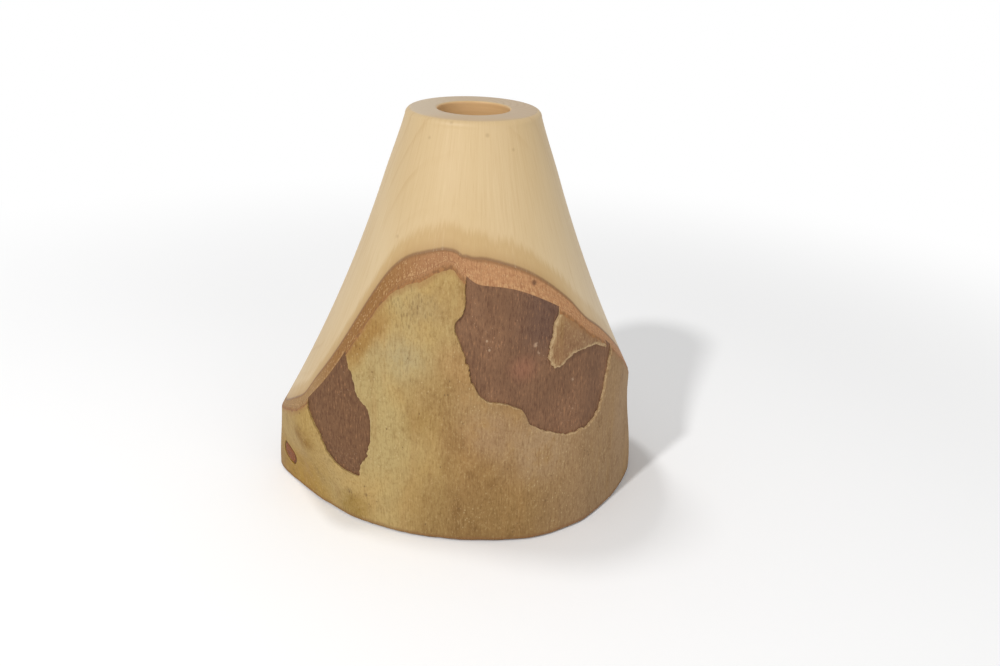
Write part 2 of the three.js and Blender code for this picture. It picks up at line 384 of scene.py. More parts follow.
outline_steps = np.diff(log_outline(some_turns, np.full(some_turns.shape, HEIGHT)), axis=0)
arc_table = np.concatenate([[0], np.cumsum(np.linalg.norm(outline_steps, axis=1))])
ARC = arc_table[-1]
bark_faces = grid_faces(len(bark_rows), COLUMNS, closed_rows=True)
along_bark = np.tile(np.interp(turns, some_turns, arc_table), len(bark_rows))
inner_bark = make_piece("inner_bark_layer", "inner_bark", np.concatenate(bark_rows), bark_faces,
                        {"layer": np.repeat(bark_layer, COLUMNS), "along": along_bark})
cut_first, cut_last = (WALL_ROWS - 1) * COLUMNS, (WALL_ROWS - 1 + CUT_ROWS) * COLUMNS
face_slots = np.zeros(len(bark_faces), np.int32)
face_slots[cut_first:cut_last] = 1
inner_bark.data.polygons.foreach_set("material_index", face_slots)
print("the log measures", ARC.round(1), "mm round")

# %% [markdown]
# ## Outer bark
# The tan outer bark is a sheet under a millimetre thick that has broken away in places. A real sheet
# has a ragged, crumbly rim, so a plain grid won't do. Instead the bark is laid out flat, like paper
# peeled off the log: one coordinate runs round the log, the other up it. Its outline is drawn there,
# torn edges and all, and a constrained Delaunay triangulation fills it with triangles that follow
# every nick. Then each point goes back onto the log, and a second skin behind it gives thickness.

# %% Laying the log out flat
RIGHT, SEAM, RIDGE = (station / len(STATIONS) for station in (6, 7, 13))
FRONT = (RIDGE, 1 + RIGHT)
BACK = (RIGHT, RIDGE)
SEAM_ARC = np.interp(SEAM, some_turns, arc_table)
SPAN_POINTS = 800
TORN_STEP = 0.3
TEAR_MARGIN = 0.2
BAY, NICK, ROUGH_STRETCH = 3.4, 0.9, 9


def arc_of(at_turns):
    """Millimetres round the log from the seam, anticlockwise."""
    ahead = np.asarray(at_turns) - SEAM
    whole = np.floor(ahead)
    length = np.interp((ahead - whole + SEAM) % 1, some_turns, arc_table) - SEAM_ARC
    return np.where(length < 0, length + ARC, length)


def turn_of(arcs):
    return np.interp((np.asarray(arcs) + SEAM_ARC) % ARC, arc_table, some_turns)


def arc_where(span, across, offset, height):
    """Where the outline, between two turns, lies at an offset along a horizontal direction."""
    at_turns = np.linspace(*span, SPAN_POINTS)[1:-1]
    reach = log_outline(at_turns, np.full(at_turns.shape, height)) @ np.array(across)
    return np.interp(offset, reach, arc_of(at_turns))


def open_curve(points, steps=24):
    """A smooth curve through points, with its ends."""
    padded = np.concatenate([points[:1], points, points[-1:]])
    w = np.linspace(0, 1, steps, endpoint=False)[:, None]
    spans = [between(*four, w) for four in zip(padded, padded[1:], padded[2:], padded[3:])]
    return np.concatenate([*spans, points[-1:]])


def even_steps(line, step):
    """The same line with its points a step apart."""
    length = np.concatenate([[0], np.cumsum(np.linalg.norm(np.diff(line, axis=0), axis=1))])
    count = max(int(length[-1] / step), 2)
    at = np.linspace(0, length[-1], count + 1)
    return np.stack([np.interp(at, length, line[:, k]) for k in (0, 1)], -1)


def sideways(line):
    """Unit vectors square to a line, to its left."""
    along = np.gradient(line, axis=0)
    along /= np.linalg.norm(along, axis=1, keepdims=True)
    return np.stack([-along[:, 1], along[:, 0]], -1)


def ragged(line, seed):
    """Nicks and small bays along a torn edge."""
    far = np.arange(len(line)) * TORN_STEP
    bays, nicks, rough = (noise(far / length, far * 0, seed + k)
                          for k, length in enumerate((BAY, NICK, ROUGH_STRETCH)))
    push = 0.7 * (bays - 0.5) + (0.2 + 0.7 * smooth(2.2 * rough - 0.6)) * (nicks - 0.5)
    return line + sideways(line) * push[:, None]


print("the bark lies", ARC.round(1), "mm wide when flat")

# %% Where the outer bark is missing, and the flakes left there
# Points are x and depth below the rim, in hundredths of LOG_WIDTH, as in the CAD model.
LEFT_CLEARING = [
    [-28.3, 55.2], [-26.8, 61.4], [-25.7, 65.5], [-23.3, 70], [-22.7, 75.9], [-23.4, 81.4],
    [-25.4, 85.5], [-26.1, 89.3], [-30.9, 87.1], [-33.8, 83.5], [-35.2, 79.3], [-38.1, 72.9],
    [-38.3, 69],
]
RIGHT_CLEARING = [
    [0, 33.1], [-0.4, 40.7], [-2.5, 45.2], [0, 51.7], [2.1, 59], [5.5, 63.6], [10.3, 64.8],
    [14.1, 66.9], [16.8, 71.4], [21.4, 74.5], [26.2, 76.2], [31.2, 75.7], [34.3, 72.3], [35.3, 66.9],
    [36.3, 57.9],
]
BACK_CLEARING = [
    [-21.4, 66.9], [-20.7, 72], [-17.9, 76.2], [-18.6, 80], [-13.8, 83.8], [-5.5, 85], [2.8, 83.4],
    [10.3, 85.2], [16.6, 82], [17.9, 77], [15.2, 72.4], [17.2, 66.9],
]
FRONT_FLAKE = [
    [22, 43], [21, 46.5], [20.5, 50.5], [20.2, 54], [21, 56], [22.8, 57.1], [24.1, 56.1],
    [26.6, 54], [28.2, 53.6], [30.8, 53.4], [33.6, 54.8], [34.8, 55.9],
]
BACK_FLAKE = [
    [-12.4, 67.6], [-13.1, 72], [-10.3, 76.4], [-6.2, 79], [-1.4, 77.4], [4.1, 79.8], [7.6, 75.5],
    [6.2, 71.6], [9, 67.6],
]
print("the larger front clearing is drawn with", len(RIGHT_CLEARING), "points")

# %% Torn edges
EDGE_NOISE = ((62, 250), (63, 700))  # a seed, and how many lumps or crumbs there are round the log
OVERSHOOT = 30
TURN_STEPS = 9


def top_of(arcs):
    """The outer bark's upper edge: the live edge, less the crumbs that broke off it."""
    lumps, crumbs = (noise(arcs / ARC * count, arcs * 0, seed, count) for seed, count in EDGE_NOISE)
    return live_edge(turn_of(arcs), 0) - 0.45 * smooth(2 * lumps - 0.6) - 0.3 * crumbs


def torn_line(points, on_front, seed):
    """A torn edge on the flat bark, from left to right, cut off where it meets the live edge."""
    span, across = (FRONT, (1, 0)) if on_front else (BACK, (-1, 0))
    flat = []
    for x, below in np.array(points) * LOG_WIDTH / 100:
        height = HEIGHT - below
        flat.append([arc_where(span, across, x if on_front else -x, height), height])
    line = open_curve(np.array(flat))
    ends = line[[0, -1]] + [0, OVERSHOOT]
    line = ragged(even_steps(np.concatenate([ends[:1], line, ends[1:]]), TORN_STEP), seed)
    line = line if line[0, 0] < line[-1, 0] else line[::-1]
    over = line[:, 1] - top_of(line[:, 0])
    under = np.nonzero(over < 0)[0]
    first, last = under[0], under[-1]

    def crossing(outer, inner):
        share = over[outer] / (over[outer] - over[inner])
        arc = line[outer, 0] + (line[inner, 0] - line[outer, 0]) * share
        return [arc, float(top_of(arc))]

    kept = line[first:last + 1]
    kept[:, 1] = np.minimum(kept[:, 1], top_of(kept[:, 0]) - 0.1)
    return np.array([crossing(first - 1, first), *kept, crossing(last + 1, last)])


def pale_and_lit_side(tear, most):
    """How pale a tear's rim is: pale broken bark plus painted light, most where the sheet lies below
    the tear or to its right, so that its torn wall faces up and left, towards the key lamp.
    """
    n = TURN_STEPS
    ahead = np.roll(tear, -n, axis=0) - np.roll(tear, n, axis=0)
    ahead[:n], ahead[-n:] = ahead[n], ahead[-n - 1]
    ahead /= np.linalg.norm(ahead, axis=1, keepdims=True)
    return most * np.clip(0.5 + 0.8 * ahead[:, 0] + 0.6 * ahead[:, 1], 0, 1)


left_tear = torn_line(LEFT_CLEARING, True, 11)
right_tear = torn_line(RIGHT_CLEARING, True, 21)
back_tear = torn_line(BACK_CLEARING, False, 31)
TEARS = [left_tear, right_tear, back_tear]
print("torn edges have", [len(tear) for tear in TEARS], "points")

# %% Filling an outline with triangles and giving it thickness
SPACING = 1.5
FINE_WIDTH = 1.8
FINE_LINES = (0.3, 0.7, 1.3)
LEAST_GAP = 0.22
PART = 500


def closest(points, others):
    """Which of some other points lies closest to each point."""
    parts = np.array_split(points, max(len(points) // PART, 1))
    gaps = (np.hypot(*(part[:, None] - others[None]).transpose(2, 0, 1)) for part in parts)
    return np.concatenate([gap.argmin(1) for gap in gaps])


def nearest(points, others):
    """The distance from each point to the closest of some others."""
    return np.linalg.norm(points - others[closest(points, others)], axis=1)


def inside(points, loop):
    """Whether points lie inside a closed outline, by counting the sides that a ray crosses."""
    ahead = np.roll(loop, -1, axis=0)
    rise = ahead[:, 1] - loop[:, 1]
    slope = (ahead[:, 0] - loop[:, 0]) / np.where(rise == 0, 1, rise)
    found = []
    for part in np.array_split(points, max(len(points) // PART, 1)):
        y = part[:, 1:2]
        crosses = (loop[:, 1] > y) != (ahead[:, 1] > y)
        left_of = part[:, :1] < loop[:, 0] + (y - loop[:, 1]) * slope
        found.append((crosses & left_of).sum(1) % 2 == 1)
    return np.concatenate(found)


def on_bark(points, loop, holes):
    """Whether points lie inside an outline and outside all its holes."""
    return inside(points, loop) & ~np.any([inside(points, hole) for hole in holes], axis=0)


def in_from(line, distance):
    """Points a little way in from a torn edge, on both sides of it."""
    side = sideways(line) * distance
    both = np.concatenate([line + side, line - side])
    return both[nearest(both, line) > distance * 0.85]


def triangles_in(loop, tears, holes):
    """Points and triangles that fill an outline, finer beside its torn edges."""
    low, high = loop.min(0), loop.max(0)
    across, upward = np.meshgrid(np.arange(low[0], high[0], SPACING),
                                 np.arange(low[1], high[1], SPACING * 0.87))
    across[1::2] += SPACING / 2
    border = np.concatenate([loop, *holes])
    fill = np.stack([across.ravel(), upward.ravel()], -1)
    fill = fill[nearest(fill, border) > SPACING * 0.6]
    fill = fill[nearest(fill, np.concatenate(tears)) > FINE_WIDTH]
    beside = [in_from(tear[::1 + k], d) for tear in tears for k, d in enumerate(FINE_LINES)]
    beside = np.concatenate(beside)
    fill = np.concatenate([fill, beside[nearest(beside, border) > LEAST_GAP]])
    points = np.concatenate([border, fill[on_bark(fill, loop, holes)]])
    sides, start = [], 0
    for ring in (loop, *holes):
        ids = np.arange(start, start + len(ring))
        sides += list(zip(ids.tolist(), np.roll(ids, -1).tolist()))
        start += len(ring)
    flat, _, faces, *_ = delaunay_2d_cdt([Vector(p) for p in points], sides, [], 0, 1e-5)
    flat, faces = np.array(flat), np.array(faces)
    return flat, faces[on_bark(flat[faces].mean(1), loop, holes)]


print("triangulation ready")

# %% Putting a flat outline of bark back onto the log
SHEET_BEVEL, FLAKE_BEVEL = 0.6, 1.1
FLAKE_FRESH = 1.35
WAVE, CURL, CRUMBLE = 0.14, 0.4, 0.3
WAVE_WIDE, WAVE_HIGH, CURL_REACH, CRUMB = 9, 16, 7, 0.8
CURL_WIDTH, EASED, FARTHEST = 4, 0.05, 9


def bark_piece(name, node, loop, tears, pale, holes, seed, bevel=SHEET_BEVEL):
    flat, faces = triangles_in(loop, tears, holes)
    arcs, heights = flat.T
    at_turns = turn_of(arcs)
    tops = top_of(arcs)
    torn_points = np.concatenate(tears)
    beside = closest(flat, torn_points)
    from_tear = np.linalg.norm(flat - torn_points[beside], axis=1)
    pale_rim_and_painted_light = np.concatenate(pale)[beside]
    cells = round(ARC / WAVE_WIDE)
    wave = noise(arcs / ARC * cells, heights / WAVE_HIGH, seed, cells) - 0.5
    crumbs = noise(arcs / CRUMB, heights / CRUMB, seed + 3)
    curl = noise(arcs / CURL_REACH, heights / CURL_REACH, seed + 5)
    torn = smooth(1 - from_tear / bevel)
    lifted = smooth(1 - from_tear / CURL_WIDTH) * np.clip(curl - 0.5, 0, 1)
    depth = WAVE * wave - CURL * lifted + torn * (EASED + CRUMBLE * crumbs)
    at_top = heights > tops - 0.02
    depth[at_top] = EASED
    outer = log_point(at_turns, heights, depth)
    behind = np.where(at_top, live_edge(at_turns, SKIN), heights)
    inner = log_point(at_turns, behind, SKIN)

    # The two ends of a sheet that goes right round the log are one line of points.
    same = np.arange(len(flat))
    for i in np.nonzero(arcs > ARC - 1e-4)[0]:
        gap = np.abs(arcs) + np.abs(heights - heights[i])
        same[i] = gap.argmin()
    faces = same[faces]
    used = np.unique(faces)
    renumber = np.zeros(len(flat), int)
    renumber[used] = np.arange(len(used))
    faces, count = renumber[faces], len(used)

    edges = np.concatenate([faces[:, [0, 1]], faces[:, [1, 2]], faces[:, [2, 0]]])
    both_ways = {tuple(e) for e in edges.tolist()}
    border = [(a, b) for a, b in both_ways if (b, a) not in both_ways]
    all_faces = faces.tolist() + (faces[:, ::-1] + count).tolist()
    all_faces += [[a, a + count, b + count, b] for a, b in border]
    numbers = {"from_tear": np.minimum(from_tear, FARTHEST), "below_edge": tops - heights,
               "pale_rim_and_painted_light": pale_rim_and_painted_light, "along": arcs}
    numbers = {key: np.tile(values[used], 2) for key, values in numbers.items()}
    numbers["layer"] = np.repeat([1.25, 1.0], count)
    points = np.concatenate([outer[used], inner[used]])
    piece = make_piece(name, node, points, all_faces, numbers)
    top = at_top[used]
    slots = [0] * (2 * len(faces)) + [int(top[a] and top[b]) for a, b in border]
    piece.data.polygons.foreach_set("material_index", np.array(slots, np.int32))
    return piece


print("bark can go back onto the log")

# %% The sheet's outline: along the foot, up the seam and back along the live edge past each tear
FOOT_POINTS, EDGE_POINTS, SEAM_POINTS = 400, 1400, 40
FOOT_WEAR = 0.25
foot_arcs = np.linspace(0, ARC, FOOT_POINTS)
foot_heights = EDGE_LIFT + FOOT_WEAR * noise(foot_arcs / 2.4, foot_arcs * 0, 61)
foot_line = np.stack([foot_arcs, foot_heights], -1)
foot_line[-1, 1] = foot_line[0, 1]
edge_arcs = np.linspace(0, ARC, EDGE_POINTS)
in_tear = np.zeros(len(edge_arcs), bool)
for tear in TEARS:
    in_tear |= (edge_arcs > tear[0, 0] - TEAR_MARGIN) & (edge_arcs < tear[-1, 0] + TEAR_MARGIN)
edge_line = np.stack([edge_arcs, top_of(edge_arcs)], -1)
edge_line[-1, 1] = edge_line[0, 1]
top_line = [edge_line[(edge_arcs < back_tear[0, 0]) & ~in_tear]]
for tear, end in ((back_tear, left_tear[0, 0]), (left_tear, right_tear[0, 0]), (right_tear, ARC + 1)):
    after = (edge_arcs > tear[-1, 0]) & (edge_arcs < end) & ~in_tear
    top_line += [tear, edge_line[after]]
top_line = np.concatenate(top_line)
seam_heights = np.linspace(foot_line[0, 1], edge_line[0, 1], SEAM_POINTS)[1:-1]
seam_up = np.stack([np.full(len(seam_heights), ARC), seam_heights], -1)
seam_down = np.stack([np.zeros(len(seam_heights)), seam_heights[::-1]], -1)
sheet_loop = np.concatenate([foot_line, seam_up, top_line[::-1], seam_down])
print("the sheet's outline has", len(sheet_loop), "points")

# %% The sheet, with an eye-shaped hole where the knot breaks through
KNOT_ACROSS = (-math.sin(KNOT_BEARING), math.cos(KNOT_BEARING))
KNOT_SPAN = (RIDGE - 0.07, RIDGE + 0.14)
HOLE_SIZE = 1.03


def knot_outline(size, count=48):
    """Arc and height of points round the eye-shaped knot."""
    around = np.linspace(0, 2, count, endpoint=False)
    rise = np.where(around < 1, 2 * around - 1, 3 - 2 * around)
    wide = np.where(around < 1, 1, -1) * (1 - rise**2) * KNOT_WIDTH / 2
    line = []
    for offset, up in zip(wide * size, rise * KNOT_LENGTH / 2 * size):
        height = KNOT_HEIGHT + up + KNOT_SLANT * offset
        line.append([arc_where(KNOT_SPAN, KNOT_ACROSS, offset, height), height])
    return np.array(line)


knot_hole = knot_outline(HOLE_SIZE)
# Each tear's pale rim is partly painted light, weighted by which way its torn wall faces.
pale_and_lit_sides = [pale_and_lit_side(tear, most) for tear, most in zip(TEARS, (0.3, 0.55, 0.8))]
sheet = bark_piece("outer_bark_sheet", "bark_sheet", sheet_loop, TEARS, pale_and_lit_sides, [knot_hole], 71)

# %% The two flakes
def flake_piece(name, node, points, on_front, seeds):
    tear = torn_line(points, on_front, seeds[0])
    arcs = np.arange(tear[0, 0] + TORN_STEP, tear[-1, 0] - TEAR_MARGIN, TORN_STEP)
    loop = np.concatenate([tear, np.stack([arcs, top_of(arcs)], -1)[::-1]])
    pale_rim_and_painted_light = [np.full(len(tear), FLAKE_FRESH)]
    return bark_piece(name, node, loop, [tear], pale_rim_and_painted_light, [], seeds[1], FLAKE_BEVEL)


front_flake = flake_piece("outer_bark_flake_front", "bark_flake_front", FRONT_FLAKE, True, (41, 81))
back_flake = flake_piece("outer_bark_flake_back", "bark_flake_back", BACK_FLAKE, False, (51, 91))

# %% [markdown]
# ## Knot and water tube
# The knot is the stub of a small branch that the bark has grown round, an eye-shaped plug that
# stands a little proud of the bark. Its eye is slanted, as in the photograph, within the box of the
# upright CAD knot. The tube is plain glass, as a lathe would draw it: up the outside, over the
# rounded lip and down the inside.

# %% The knot
KNOT_RINGS = 12
knot_rows, knot_share = [], []
for share in np.linspace(0.04, 1, KNOT_RINGS):
    arcs, heights = knot_outline(share).T
    dome = 0.15 - 0.5 * (1 - share**2) + 0.25 * smooth((share - 0.8) / 0.2)
    knot_rows.append(log_point(turn_of(arcs), heights, dome))
    knot_share.append(share)
for depth in (1.2, 2.4):
    knot_rows.append(log_point(turn_of(arcs), heights, depth))
    knot_share.append(1.1)
sides = len(knot_rows[0])
knot_faces = [face[::-1] for face in closed_ends(len(knot_rows), sides)]
knot = make_piece("branch_knot_plug", "branch_knot", np.concatenate(knot_rows), knot_faces,
                  {"knot_ring": np.repeat(knot_share, sides)})

# %% The water tube
TUBE_SIDES = 96
tube_bore = TUBE_RADIUS - TUBE_WALL
lip_centre = (TUBE_RADIUS - TUBE_WALL / 2, TUBE_LIP - TUBE_WALL / 2)
tube_profile = [(0.3, TUBE_BOTTOM), (TUBE_RADIUS * 0.4, TUBE_BOTTOM)]
tube_profile += round_rows((TUBE_RADIUS - TUBE_HEEL, TUBE_BOTTOM + TUBE_HEEL), TUBE_HEEL, -90, 0, 8)
tube_profile += round_rows(lip_centre, TUBE_WALL / 2, 0, 180, 9)
heel = TUBE_HEEL - TUBE_WALL
tube_profile += round_rows((tube_bore - heel, TUBE_FLOOR + heel), heel, 0, -90, 6)
tube_profile += [(TUBE_RADIUS * 0.4, TUBE_FLOOR), (0.3, TUBE_FLOOR)]
around = np.arange(TUBE_SIDES) / TUBE_SIDES * 2 * math.pi
tube_points = np.concatenate([ring_of(around, radius, height) for radius, height in tube_profile])
tube_faces = closed_ends(len(tube_profile), TUBE_SIDES)
tube = make_piece("glass_tube", "water_tube", tube_points, tube_faces,
                  body="tube", sharp=60)

# %% [markdown]
# ## Writing shaders as sums
# A shader is a tree of nodes, and a long one is hard to read as a list of links. So one small class
# stands for a socket, and a sum or product of two of them adds the Math node that does it. Every
# other node comes from one method of the finish, which takes the node's type, its settings and what
# goes into its sockets. The finish also keeps the colour so far, as a painter would: cover() lays a
# colour over it and stain() darkens it.

# %% A socket that can be added and multiplied
def operator(operation, swapped=False):
    """A Python operator that adds a Math node."""

    def add_node(self, other):
        first, second = (other, self) if swapped else (self, other)
        return self.finish.node("Math", {"operation": operation}, {0: first, 1: second})

    return add_node


class Socket:
    """One output of a shader node."""

    def __init__(self, finish, socket):
        self.finish = finish
        self.socket = socket

    __add__, __radd__ = operator("ADD"), operator("ADD", True)
    __sub__, __rsub__ = operator("SUBTRACT"), operator("SUBTRACT", True)
    __mul__, __rmul__ = operator("MULTIPLY"), operator("MULTIPLY", True)
    __truediv__, __rtruediv__ = operator("DIVIDE"), operator("DIVIDE", True)
    __mod__, __rmod__ = operator("FLOORED_MODULO"), operator("FLOORED_MODULO", True)

    def band(self, low, high):
        """0 below low, 1 above high and smooth between. With low above high it runs the other way."""
        inputs = {"Value": self, "From Min": low, "From Max": high}
        return self.finish.node("MapRange", {"interpolation_type": "SMOOTHSTEP"}, inputs)

    def uneven(self, amount, noise):
        """The same value, up to half the amount lower or higher as a noise from 0 to 1 says."""
        return self + amount * (noise - 0.5)


print("sockets can be added and multiplied")

# %% A finish that holds the nodes
def paint(red, green, blue):
    """A colour as a picture program gives it, from 0 to 255, made linear for the shader."""
    shares = [c / 255 for c in (red, green, blue)]
    linear = [s / 12.92 if s <= 0.04045 else ((s + 0.055) / 1.055) ** 2.4 for s in shares]
    return (*linear, 1.0)


class Finish:
    """The nodes of one material, or of the world, and the colour that is painted so far."""

    def __init__(self, owner):
        owner.use_nodes = True
        self.owner = owner
        self.tree = owner.node_tree
        self.tree.nodes.clear()
        self.place = self.node("TexCoord", output="Object")
        self.colour = None

    def node(self, kind, settings=None, inputs=None, output=0):
        node = self.tree.nodes.new("ShaderNode" + kind)
        for key, value in (settings or {}).items():
            setattr(node, key, value)
        for key, value in (inputs or {}).items():
            if isinstance(value, Socket):
                self.tree.links.new(value.socket, node.inputs[key])
            else:
                node.inputs[key].default_value = value
        return Socket(self, node.outputs[output]) if node.outputs else node

    def number(self, name):
        return self.node("Attribute", {"attribute_name": name}, output="Fac")

    def part(self, axis, vector=None):
        """X, Y or Z of the place on the vase, or of another vector."""
        return self.node("SeparateXYZ", inputs={"Vector": vector or self.place}, output=axis)

    def vector(self, operation, first, second=(0, 0, 0), output="Vector"):
        return self.node("VectorMath", {"operation": operation}, {0: first, 1: second}, output)

    def stretched(self, scale):
        """The place on the vase, in metres, times a scale along x, y and z."""
        return self.vector("MULTIPLY", self.place, scale)

    def cells(self, where):
        """What a texture reads: a place, or the place on the vase times a scale."""
        place = where if isinstance(where, Socket) else self.stretched(where)
        return {"Vector": place, "Scale": 1.0}

    def grain(self, where, detail=3.0, rough=0.55):
        """Noise from 0 to 1. With a scale it has so many bumps to a metre along x, y and z."""
        settings = {"noise_dimensions": "3D", "normalize": True}
        inputs = {**self.cells(where), "Detail": detail, "Roughness": rough}
        return self.node("TexNoise", settings, inputs, "Fac")

    def specks(self, where):
        """Distance to the nearest of many scattered points, in cells."""
        return self.node("TexVoronoi", {"feature": "F1"}, self.cells(where), "Distance")

    def spot(self, centre, radius, soft):
        """1 within a radius of a point, fading to 0, both in millimetres."""
        gap = self.vector("DISTANCE", self.place, tuple(c * MM for c in centre), "Value")
        return gap.band((radius + soft) * MM, max(radius - soft, 0) * MM)

    def rays(self, *kinds):
        """1 for rays of these kinds and 0 for all others."""
        return sum(self.node("LightPath", output=f"Is {kind} Ray") for kind in kinds).band(0.0, 1.0)

    def blend(self, share, first, second, how="MIX"):
        """From one colour to another. A colour is a socket, or red, green and blue for paint()."""
        first, second = (c if isinstance(c, Socket) else paint(*c) for c in (first, second))
        settings = {"data_type": "RGBA", "blend_type": how}
        return self.node("Mix", settings, {0: share, 6: first, 7: second}, 2)

    def cover(self, share, colour):
        """Puts another colour over the colour so far."""
        self.colour = self.blend(share, self.colour, colour)

    def stain(self, share, colour):
        """Darkens the colour so far, as a glaze does."""
        self.colour = self.blend(share, self.colour, colour, "MULTIPLY")

    def shader(self, colour, roughness, relief, depth, **constants):
        """The shader itself: a colour, a roughness, and a height in millimetres as bump."""
        normal = self.node("Bump", inputs={"Strength": 1.0, "Distance": depth * MM, "Height": relief})
        inputs = {"Base Color": colour, "Roughness": roughness, "Normal": normal, **constants}
        return self.node("BsdfPrincipled", inputs=inputs)

    def surface(self, *looks, gloss=0.5):
        """A whole material in the colour so far. A lower gloss reflects less."""
        shader = self.shader(self.colour, *looks, **{"Specular IOR Level": gloss})
        self.node("OutputMaterial", inputs={"Surface": shader})
        return self.owner


def new_finish(name):
    return Finish(bpy.data.materials.new(name))


print("finishes can be written")

# %% [markdown]
# ## Finish of the turned wood
# Pale, fine sanded wood with little contrast. Long fibres run up the cone, so their noise goes by
# the bearing round the axis and is stretched along z. Growth rings are lines of equal depth under
# the bark. The last wood under the bark is darker and more orange, with a frayed upper border and a
# thin dark line at the very edge. On the right, away from the key lamp, the wood near the bark is
# painted paler, which is painted light, and its darker sapwood is weaker there. The flat rim and the
# sawn foot show end grain, which is greyer and has its rings round the pith, and the drill has left
# fine rings in the bore.

# %% Turned wood
RING_WIDTH = 5.2
wood = new_finish("turned_wood")
under_bark = wood.number("under_bark")
off_axis = wood.stretched((1, 1, 0))
bearing = wood.vector("NORMALIZE", off_axis)


def up_the_cone(turns, height):
    """A place for streaks up the cone, with so many to a radian round it and to a metre up."""
    across = wood.vector("MULTIPLY", bearing, (turns, turns, 0))
    return wood.vector("ADD", across, wood.stretched((0, 0, height)))


fibre = wood.grain(up_the_cone(34.0, 26.0), 3.0, 0.6)
hairs = wood.grain(up_the_cone(70.0, 75.0), 3.0, 0.65)
broad = wood.grain((30, 30, 14), 2.0)
wander = wood.grain((55, 55, 20), 2.0)

x, y = wood.part("X"), wood.part("Y")
wood.colour = wood.blend(broad.band(0.35, 0.65), (214, 189, 147), (209, 182, 137))
facing = x.band(-0.03, -0.008) * x.band(0.034, 0.014)
wood.cover(facing * 0.6, (209, 180, 132))
ring = under_bark.uneven(3.0, wander) / RING_WIDTH % 1.0
ring_line = ring.band(0.74, 0.96) * ring.band(1.0, 0.97) * broad.band(0.45, 0.65)
wood.stain(ring_line * 0.16, (214, 182, 138))
print("turned wood has its growth rings")

# %% Turned wood beside the bark
lit_side = x.band(0.048, 0.022)
frayed = under_bark.uneven(3.8, hairs).uneven(1.3, wander)
# On the right, away from the key lamp, the wood near the bark is painted paler: painted light.
painted_light_on_shaded_side = (1.0 - lit_side) * under_bark.band(16.0, 4.0)
wood.cover(painted_light_on_shaded_side * 0.7, (222, 200, 165))
sapwood = frayed.band(3.5, 2.0) * (0.4 + 0.4 * lit_side)
wood.cover(sapwood, (192, 158, 105))
halo = under_bark.uneven(2.0, hairs).band(1.7, 0.1) * (0.5 + 0.5 * lit_side)
wood.cover(halo * 0.6, (176, 139, 88))
dark_line = under_bark.uneven(0.2, hairs).band(0.5, 0.12)
wood.cover(dark_line * 0.9, (132, 94, 56))
print("the last wood under the bark is darker")

# %% Fibres of the turned wood
wood.stain(fibre.band(0.48, 0.72) * 0.15, (232, 216, 192))
wood.stain(hairs.band(0.5, 0.68) * 0.2, (230, 212, 186))
wood.cover(hairs.band(0.44, 0.3) * 0.16, (230, 206, 164))
print("turned wood has its fibres")

# %% Rim and bore
upright = wood.part("Z", wood.node("NewGeometry", output="Normal"))
across_grain = (upright * upright).band(0.75, 0.98)
PITH = (-0.0035, 0.011, 0)
END_RING_WIDTH = 0.0021
pores = wood.specks((1500, 1500, 300)).band(0.28, 0.12)
end_grain = wood.blend(pores * 0.5, (199, 178, 151), (176, 152, 122))
from_pith = wood.vector("DISTANCE", wood.stretched((0.85, 1.15, 0)), PITH, "Value")
end_ring = from_pith.uneven(0.0022, wander) / END_RING_WIDTH % 1.0
end_grain = wood.blend(end_ring.band(0.4, 0.95) * 0.3, end_grain, (222, 204, 180), "MULTIPLY")
end_grain = wood.blend(broad.band(0.4, 0.6) * 0.4, end_grain, (190, 166, 138))
end_grain = wood.blend(x.band(0.0, -0.02) * 0.6, end_grain, (214, 198, 174))
end_grain = wood.blend(y.band(-0.012, -0.02) * 0.6, end_grain, (200, 170, 128))
wood.cover(across_grain * 0.9, end_grain)
from_axis = wood.vector("LENGTH", off_axis, output="Value")
in_bore = from_axis.band((BORE_RADIUS + 0.35) * MM, (BORE_RADIUS + 0.05) * MM)
drill_rings = wood.grain((40, 40, 1900), 2.0)
bore_colour = wood.blend(drill_rings, (224, 184, 131), (208, 166, 114))
wood.cover(in_bore, bore_colour)
print("rim and bore have their own colours")

# %% Pin knots, and the relief of the turned wood
def on_cone(degrees, height):
    """A point on the turned cone, at a bearing in degrees."""
    return tuple(ring_of(np.radians(np.array([degrees])), cone_radius(height), height)[0])


PIN_KNOT = on_cone(-56, 99.4)
PIN_SPECKS = ((-106, 149.2, 0.5), (-123, 143.7, 0.4), (-77, 145.7, 0.6), (-57, 140.9, 0.4),
              (-131, 111.6, 0.5))
for degrees, height, radius in PIN_SPECKS:
    speck = wood.spot(on_cone(degrees, height), radius, 0.5)
    wood.cover(speck * 0.32, (150, 112, 72))
wood.cover(wood.spot(PIN_KNOT, 0.8, 0.5) * 0.8, (104, 68, 44))

relief = (0.6 * fibre + 0.4 * hairs) * (1.0 - across_grain) + in_bore * drill_rings
roughness = 0.5 + 0.14 * (fibre - 0.5) + 0.1 * across_grain
wood_body.data.materials.append(wood.surface(roughness, relief, 0.05))
print("turned wood has", len(wood.tree.nodes), "nodes")

# %% [markdown]
# ## Finish of the inner bark
# The outside is dark, reddish brown and fibrous, with broken fibres that catch the light and a few
# pale specks of cork. The cut face along the live edge is paler and redder. Its layers follow the
# log, so the noise there is stretched along the live edge instead of up the log.

